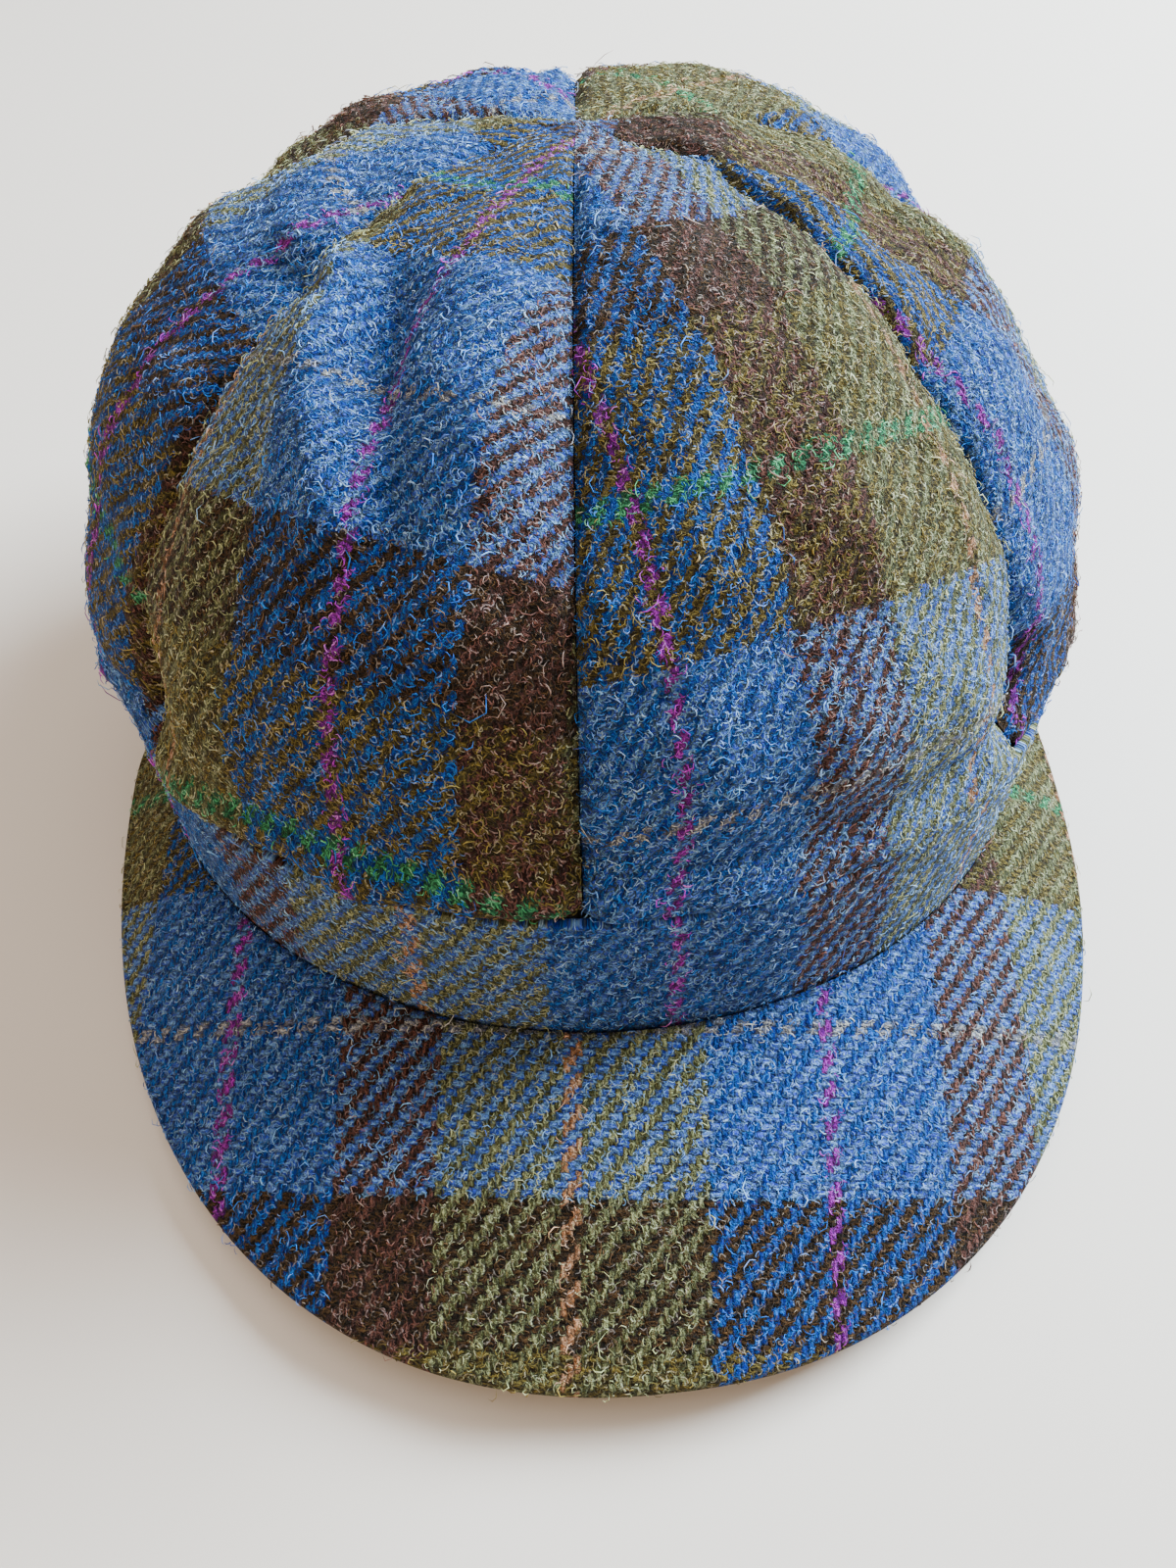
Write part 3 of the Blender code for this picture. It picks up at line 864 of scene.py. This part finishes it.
class Shader:
    """A material on a Principled BSDF, and the one way that its nodes are made."""

    def __init__(self, name):
        self.material = bpy.data.materials.new(name)
        self.material.use_nodes = True
        self.tree = self.material.node_tree
        self.surface = self.tree.nodes["Principled BSDF"]

    def put(self, node, sockets):
        """Sets sockets, by name or number, to values or links."""
        for key, value in sockets.items():
            if isinstance(value, Value):
                self.tree.links.new(value.socket, node.inputs[key])
            else:
                node.inputs[key].default_value = value

    def add(self, kind, settings=None, sockets=None, output=0):
        """A node of a kind: its settings first, a ramp's stops among them, then its sockets."""
        node = self.tree.nodes.new(kind)
        for key, value in (settings or {}).items():
            if key == "stops":
                self.set_stops(node.color_ramp, value)
            else:
                setattr(node, key, value)
        self.put(node, sockets or {})
        return Value(self, node.outputs[output])

    @staticmethod
    def set_stops(ramp, stops):
        """Gives a colour ramp its stops, each a position and a colour, held flat up to the next."""
        ramp.interpolation = "CONSTANT"
        while len(ramp.elements) < len(stops):
            ramp.elements.new(1.0)
        for element, (position, colour) in zip(ramp.elements, stops):
            element.position = position
            element.color = (*colour, 1.0)

    def mix(self, first, second, factor, blend="MIX"):
        """Two colours mixed by a factor."""
        return self.add(
            "ShaderNodeMix",
            {"data_type": "RGBA", "blend_type": blend, "clamp_factor": True},
            {0: factor, 6: first, 7: second},
            output=2,
        )

    def vector(self, x, y, z=0.0):
        """A vector from three numbers."""
        return self.add("ShaderNodeCombineXYZ", None, {0: x, 1: y, 2: z})

    def noise(self, vector, scale, detail=2.0, distortion=0.0, roughness=0.5):
        """Smooth noise from 0 to 1."""
        sockets = {"Vector": vector, "Scale": scale, "Detail": detail, "Distortion": distortion}
        return self.add("ShaderNodeTexNoise", None, {**sockets, "Roughness": roughness})

    def combine(self, operation, first, second):
        """Two vectors joined by a Vector Math operation."""
        return self.add("ShaderNodeVectorMath", {"operation": operation}, {0: first, 1: second})

    def length(self, vector):
        """The length of a vector."""
        return self.add("ShaderNodeVectorMath", {"operation": "LENGTH"}, {0: vector}, output=1)

    def split(self, vector):
        """The three numbers of a vector or colour."""
        node = self.add("ShaderNodeSeparateXYZ", None, {0: vector}).socket.node
        return [Value(self, output) for output in node.outputs]

    def stray(self, vector, scale, amount):
        """A smooth random vector, up to about half the amount each way."""
        noise = self.noise(vector, scale, 1.0)
        colour = Value(self, noise.socket.node.outputs[1])
        middle = self.combine("SUBTRACT", colour, (0.5, 0.5, 0.5))
        return self.combine("MULTIPLY", middle, (amount, amount, 0.0))


def grey(value):
    """A colour with three equal parts."""
    return (value, value, value, 1.0)


def stripe_colour(shader, stripes, repeat, place, part):
    """The yarn colour at a place along the check's repeat, from a ramp with one stop for each stripe."""
    stops = [(stripe.start / repeat, getattr(YARNS[stripe.yarn], part)) for stripe in stripes]
    return shader.add("ShaderNodeValToRGB", {"stops": stops}, {"Fac": (place % repeat) / repeat})


# Layers of curled fibres in the cloth, in millimetres: how far apart they lie, the radius of their
# arcs, and how thick they show. The shift sets each layer's scatter off from the last one's.
CurlLayer = namedtuple("CurlLayer", "spacing radius thickness")
CURL_LAYERS = (
    CurlLayer(1.80, 1.10, 0.21),
    CurlLayer(1.45, 0.85, 0.19),
    CurlLayer(1.20, 0.72, 0.17),
    CurlLayer(1.00, 0.60, 0.16),
)
LAYER_SHIFT = (17.3, 31.7)

# A curl's smallest radius in shares of its layer's; the shares of its thickness at which its edge
# starts and ends; how freely it takes the other yarn's colour; the number that makes its shade
# another random one; its darkest shade; and the shade from which it is pale, how much and with
# what colour.
CURL_SMALLEST = 0.7
CURL_EDGE = (0.25, 0.8)
CURL_MINGLING = 1.3
SHADE_STEP = 7.31
DARKEST = 0.05
PALE_FROM = 0.88
PALE_AMOUNT = 0.24
PALE_WOOL = (0.78, 0.80, 0.82, 1.0)


def curls(shader, place, pitches, curl, number):
    """Short curled fibres: in each cell of a scatter one arc of a circle through the cell's point.

    The arc's middle lies at the radius from that point, towards a random bearing. The mask falls
    from 1 to 0 as the distance to the circle passes the two shares of the thickness. Each fibre
    has one colour, mostly that of the yarn that lies on top at its own point.
    """
    warp_pitch, weft_pitch = pitches
    offset = (LAYER_SHIFT[0] * number, LAYER_SHIFT[1] * number, 0.0)
    spot = shader.combine("ADD", place, offset)
    cells = {"Vector": spot, "Scale": 1.0 / curl.spacing}
    scatter = shader.add("ShaderNodeTexVoronoi", {"voronoi_dimensions": "2D"}, cells)
    outputs = scatter.socket.node.outputs
    point = Value(shader, outputs["Position"])
    turn, choice, light = shader.split(Value(shader, outputs["Color"]))
    reach = curl.radius * (CURL_SMALLEST + light)
    angle = turn * (2 * np.pi)
    middle = shader.vector(angle.math("COSINE", angle) * reach, angle.math("SINE", angle) * reach)
    away = shader.combine("SUBTRACT", shader.combine("SUBTRACT", spot, point), middle)
    gap = abs(shader.length(away) - reach)
    mask = 1.0 - gap.between(*(curl.thickness * share for share in CURL_EDGE))
    x, y, _ = shader.split(shader.combine("SUBTRACT", point, offset))
    order = ((x / warp_pitch).floor() - (y / weft_pitch).floor()) % 4.0
    colour = shader.mix(
        stripe_colour(shader, WEFT, WEFT_REPEAT, y, "fleck"),
        stripe_colour(shader, WARP, WARP_REPEAT, x, "fleck"),
        order + CURL_MINGLING * choice < 2.0,
    )
    shade = (choice * SHADE_STEP) % 1.0
    colour = shader.mix(grey(0.0), colour, shade * shade * (1.0 - DARKEST) + DARKEST)
    return mask, shader.mix(colour, PALE_WOOL, (shade > PALE_FROM) * PALE_AMOUNT)


# What nap does to a value of the cloth: its value on smooth cloth, and what a full nap adds.
Nap = namedtuple("Nap", "smooth added")
CROWN_NAP, BAND_NAP, PEAK_NAP = 1.0, 0.7, 0.35

# How the yarns stray in long waves and fray in short ones, and how the curled fibres are ruffled:
# waves for each millimetre, and how far in millimetres.
DRIFT_SCALE = 0.45
DRIFT = Nap(smooth=1.0, added=0.6)
FRAY_SCALE = 1.9
FRAY = Nap(smooth=0.35, added=0.85)
RUFFLE_SCALE = 1.1
RUFFLE = 0.7

# The share of light fibres in a yarn, how much of the painted shade in the grooves between yarns a
# full nap hides, how high the yarns stand, and how strongly the curled fibres show. Then the scales
# of the light fibres' streaks along and across a yarn.
FLECKS = Nap(smooth=0.60, added=-0.22)
GROOVE_SHADE_HIDDEN = Nap(smooth=0.0, added=0.45)
RELIEF = Nap(smooth=1.2, added=-0.7)
CURLING = Nap(smooth=0.36, added=0.56)
STREAK_ALONG = 0.5
STREAK_ACROSS = 2.5

# The height of a groove between yarns, how far the dark patches of the mottle are darkened, which is
# random tone and partly painted shade of the gaps between fibres, and how high the mottle and the
# curled fibres stand next to a yarn.
GROOVE = 0.02
MOTTLE_AND_GAP_SHADE = 0.6
MOTTLE_HEIGHT = 0.5
CURL_HEIGHT = 0.7


def at_nap(value, nap):
    """A value of the cloth at a nap from 0 to 1."""
    return value.smooth + value.added * nap


def tweed(name, nap):
    """Two-and-two twill in wool: yarns that float over two, heathered colour and a fibrous nap.

    Cloth distances are divided by the yarns' pitch. A cell's warp number minus its weft number,
    modulo 4, says which yarn lies on top and how far along its float the cell is, which makes
    diagonals that rise to the right. A yarn's height is the root of a parabola across it times a
    cubic along its float, and the colour is darkened where that height is low, as painted shade in
    the grooves between yarns. Nap blurs the yarns, hides part of that painted shade and brings out
    the layers of curled fibres.
    """
    settings = bpy.context.scene.cap_cloth
    warp_pitch = settings.warp_pitch
    weft_pitch = settings.weft_pitch
    shader = Shader(name)
    place = shader.add("ShaderNodeUVMap", {"uv_map": "cloth"})
    drift = shader.stray(place, DRIFT_SCALE, at_nap(DRIFT, nap))
    fray = shader.stray(place, FRAY_SCALE, at_nap(FRAY, nap))
    wobble = shader.combine("ADD", drift, fray)
    u, v, _ = shader.split(shader.combine("ADD", place, wobble))
    across, along = u / warp_pitch, v / weft_pitch
    end, pick = across.floor(), along.floor()
    order = (end - pick) % 4.0
    warp_up = order < 1.5
    end_share, pick_share = across - end, along - pick
    beside = warp_up * end_share + (1.0 - warp_up) * pick_share
    onward = warp_up * (1.0 - order + pick_share) + (1.0 - warp_up) * (order - 2.0 + end_share)
    rounded = 1.0 - abs(beside * 2.0 - 1.0) ** 2.0
    ended = 1.0 - abs(onward - 1.0) ** 3.0
    yarn_height = (rounded * ended + GROOVE) ** 0.5

    warp_place, weft_place = (end + 0.5) * warp_pitch, (pick + 0.5) * weft_pitch
    body, fleck = (
        shader.mix(
            stripe_colour(shader, WEFT, WEFT_REPEAT, weft_place, part),
            stripe_colour(shader, WARP, WARP_REPEAT, warp_place, part),
            warp_up,
        )
        for part in ("body", "fleck")
    )
    mottle_and_gaps = shader.noise(place, scale=2.4, detail=3.0, distortion=0.8, roughness=0.7)
    change = STREAK_ACROSS - STREAK_ALONG
    spun = shader.vector(u * (STREAK_ALONG + change * warp_up), v * (STREAK_ACROSS - change * warp_up))
    streak = shader.noise(spun, scale=1.0, detail=2.0, distortion=0.3, roughness=0.6)
    # Partly painted shade: random dark patches of the body colour are random tone and also stand in for
    # the shade in the gaps between fibres, and they lie lower in the bump too.
    colour = shader.mix(shader.mix(body, grey(0.0), MOTTLE_AND_GAP_SHADE), body, mottle_and_gaps.between(0.38, 0.58))
    colour = shader.mix(colour, fleck, streak.between(0.44, 0.70) * at_nap(FLECKS, nap))
    # Painted shade: the colour goes towards black in the grooves between yarns, where the yarn's height
    # is low, and nap hides part of it.
    groove_shade_hidden = at_nap(GROOVE_SHADE_HIDDEN, nap)
    colour = shader.mix(grey(0.0), colour, yarn_height * (1.0 - groove_shade_hidden) + groove_shade_hidden)

    raised = mottle_and_gaps * MOTTLE_HEIGHT + yarn_height * at_nap(RELIEF, nap)
    ruffled = shader.combine("ADD", place, shader.stray(place, RUFFLE_SCALE, RUFFLE))
    for number, curl in enumerate(CURL_LAYERS):
        mask, curl_colour = curls(shader, ruffled, (warp_pitch, weft_pitch), curl, number)
        mask = mask * at_nap(CURLING, nap)
        colour = shader.mix(colour, curl_colour, mask)
        raised = raised + mask * CURL_HEIGHT

    bump = {"Strength": 1.0, "Distance": settings.yarn_relief, "Height": raised}
    shader.put(shader.surface, {
        "Base Color": colour,
        "Roughness": 0.88,
        "Normal": shader.add("ShaderNodeBump", None, bump),
        "Specular IOR Level": 0.12,
        "Sheen Weight": 0.05,
        "Sheen Roughness": 0.30,
        "Sheen Tint": (0.85, 0.93, 1.0, 1.0),
    })
    return shader.material


def fibre_wool(name):
    """Loose wool fibres, each of one colour with a little variation along it."""
    shader = Shader(name)
    colour = shader.add("ShaderNodeAttribute", {"attribute_name": "fibre_colour"})
    place = shader.add("ShaderNodeTexCoord", None, None, output=3)
    spun = shader.noise(place, scale=900.0)
    darker = shader.mix(grey(0.0), colour, 0.55)
    colour = shader.mix(colour, darker, spun.between(0.35, 0.65))
    shader.put(shader.surface, {
        "Base Color": colour,
        "Roughness": 0.7,
        "Specular IOR Level": 0.3,
    })
    return shader.material


# Pieces

class CAP_OT_panels(bpy.types.Operator):
    """Sews the six panels of the crown"""

    bl_idname = "cap.panels"
    bl_label = "Crown panels"

    def execute(self, context):
        material = tweed("tweed_crown", CROWN_NAP)
        for index, panel in enumerate(PANELS):
            surface = panel_surface(index)
            faces = grid_faces(*surface.points.shape[:2])
            piece = cloth_object(f"crown_{panel.name}", surface, material, faces)
            wall = piece.modifiers.new("cloth", "SOLIDIFY")
            wall.thickness = context.scene.cap_shape.cloth
            wall.offset = -1.0
            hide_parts(f"panel_{panel.name}")
        return {"FINISHED"}


class CAP_OT_band(bpy.types.Operator):
    """Makes the band that the crown is sewn to"""

    bl_idname = "cap.band"
    bl_label = "Band"

    def execute(self, context):
        surface = band_surface()
        faces = grid_faces(*surface.points.shape[:2], ring=True)
        piece = cloth_object("band_cloth", surface, tweed("tweed_band", BAND_NAP), faces)
        seam = piece.modifiers.new("joined ends", "WELD")
        seam.merge_threshold = BAND_WELD
        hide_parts("band")
        return {"FINISHED"}


class CAP_OT_peak(bpy.types.Operator):
    """Makes the stiff peak"""

    bl_idname = "cap.peak"
    bl_label = "Peak"

    def execute(self, context):
        surface = peak_surface()
        faces = peak_faces(*surface.points.shape[:2])
        piece = cloth_object("peak_cloth", surface, tweed("tweed_peak", PEAK_NAP), faces)
        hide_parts("peak")
        return {"FINISHED"}


class CAP_OT_fibres(bpy.types.Operator):
    """Raises the tweed's loose fibres"""

    bl_idname = "cap.fibres"
    bl_label = "Loose fibres"

    def execute(self, context):
        count = context.scene.cap_cloth.fibres
        wool = fibre_wool("loose_wool")
        for index, panel in enumerate(PANELS):
            fibre_object(
                f"fibres_{panel.name}", panel_surface(index), PANEL_ROWS, count, FIBRE_SEED + index,
                wool)
        fibre_object(
            "fibres_band", band_surface(), BAND_ROWS, count * BAND_FIBRES, BAND_FIBRE_SEED,
            wool)
        fibre_object(
            "fibres_peak", peak_surface(), PEAK_ROWS + PEAK_EDGE_ROWS // 2, count * PEAK_FIBRES,
            PEAK_FIBRE_SEED, wool)
        return {"FINISHED"}


# Stage

CAMERA_PLACE = (-0.01184, -0.15222, 0.21485)
CAMERA_AIM = (0.0391, 0.5722, -0.8192)
FLOOR_SIZE = 30.0
FLOOR_SHADE = 0.96
ROOM_COLOUR = (1.0, 0.82, 0.63, 1.0)

# Where each soft light hangs, how wide it is and its colour. All of them aim at the cap's middle.
Lamp = namedtuple("Lamp", "name place size colour")
LAMPS = (
    Lamp("window", (0.95, 0.50, 0.80), 0.7, (0.75, 0.90, 1.0)),
    Lamp("ceiling", (-0.05, 0.35, 1.30), 1.2, (0.97, 0.98, 1.0)),
    Lamp("fill", (-0.75, -0.50, 0.40), 0.6, (1.0, 0.72, 0.45)),
)
LAMP_AIM = (0.0, 0.0, 0.05)


def pale_floor(colour):
    """A plain pale floor, a little darker in soft patches."""
    bpy.ops.mesh.primitive_plane_add(size=FLOOR_SIZE)
    floor = bpy.context.object
    floor.name = "floor"
    shader = Shader("pale_floor")
    place = shader.add("ShaderNodeTexCoord", None, None, output=3)
    darker = [FLOOR_SHADE * part for part in colour]
    shade = shader.noise(place, scale=6.0, detail=3.0)
    shader.put(shader.surface, {
        "Base Color": shader.mix((*colour, 1.0), (*darker, 1.0), shade),
        "Roughness": 0.6,
    })
    floor.data.materials.append(shader.material)


def aim(item, forward):
    """Turns a light or a camera to look along a direction, and puts it in the scene."""
    item.rotation_euler = Vector(forward).to_track_quat("-Z", "Y").to_euler()
    bpy.context.scene.collection.objects.link(item)


class CAP_OT_stage(bpy.types.Operator):
    """Sets the pale floor, the soft light and the camera"""

    bl_idname = "cap.stage"
    bl_label = "Stage"

    def execute(self, context):
        settings = context.scene.cap_stage
        pale_floor(tuple(settings.floor_colour))
        for lamp in LAMPS:
            light = bpy.data.lights.new(lamp.name, "AREA")
            light.size = lamp.size
            light.energy = getattr(settings, f"{lamp.name}_power")
            light.color = lamp.colour
            hung = bpy.data.objects.new(lamp.name, light)
            hung.location = lamp.place
            aim(hung, Vector(LAMP_AIM) - hung.location)

        room = bpy.data.worlds.new("room")
        room.use_nodes = True
        background = room.node_tree.nodes["Background"]
        background.inputs["Color"].default_value = ROOM_COLOUR
        background.inputs["Strength"].default_value = settings.room_light
        context.scene.world = room

        camera = bpy.data.cameras.new("camera")
        camera.lens = settings.focal_length
        eye = bpy.data.objects.new("camera", camera)
        eye.location = CAMERA_PLACE
        aim(eye, CAMERA_AIM)
        context.scene.camera = eye
        return {"FINISHED"}


class CAP_PT_sidebar(bpy.types.Panel):
    """The cap's pieces and sizes"""

    bl_idname = "CAP_PT_sidebar"
    bl_label = "Baker boy cap"
    bl_space_type = "VIEW_3D"
    bl_region_type = "UI"
    bl_category = "Cap"

    def draw(self, context):
        for operator in OPERATORS:
            self.layout.operator(operator.bl_idname)
        for group in (context.scene.cap_shape, context.scene.cap_cloth, context.scene.cap_stage):
            box = self.layout.box()
            for key in group.__annotations__:
                box.prop(group, key)


GROUPS = (("cap_shape", CapShape), ("cap_cloth", CapCloth), ("cap_stage", CapStage))
OPERATORS = (CAP_OT_panels, CAP_OT_band, CAP_OT_peak, CAP_OT_fibres, CAP_OT_stage)


def register():
    """Adds the settings, the operators and the panel to Blender."""
    for name, group in GROUPS:
        bpy.utils.register_class(group)
        setattr(bpy.types.Scene, name, bpy.props.PointerProperty(type=group))
    for cls in (*OPERATORS, CAP_PT_sidebar):
        bpy.utils.register_class(cls)


def unregister():
    """Takes them out again."""
    for cls in reversed((*OPERATORS, CAP_PT_sidebar)):
        bpy.utils.unregister_class(cls)
    for name, group in reversed(GROUPS):
        delattr(bpy.types.Scene, name)
        bpy.utils.unregister_class(group)


def main():
    """Makes every piece and the stage."""
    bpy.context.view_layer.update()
    register()
    bpy.ops.cap.panels()
    bpy.ops.cap.band()
    bpy.ops.cap.peak()
    bpy.ops.cap.fibres()
    bpy.ops.cap.stage()


if __name__ == "__main__":
    main()
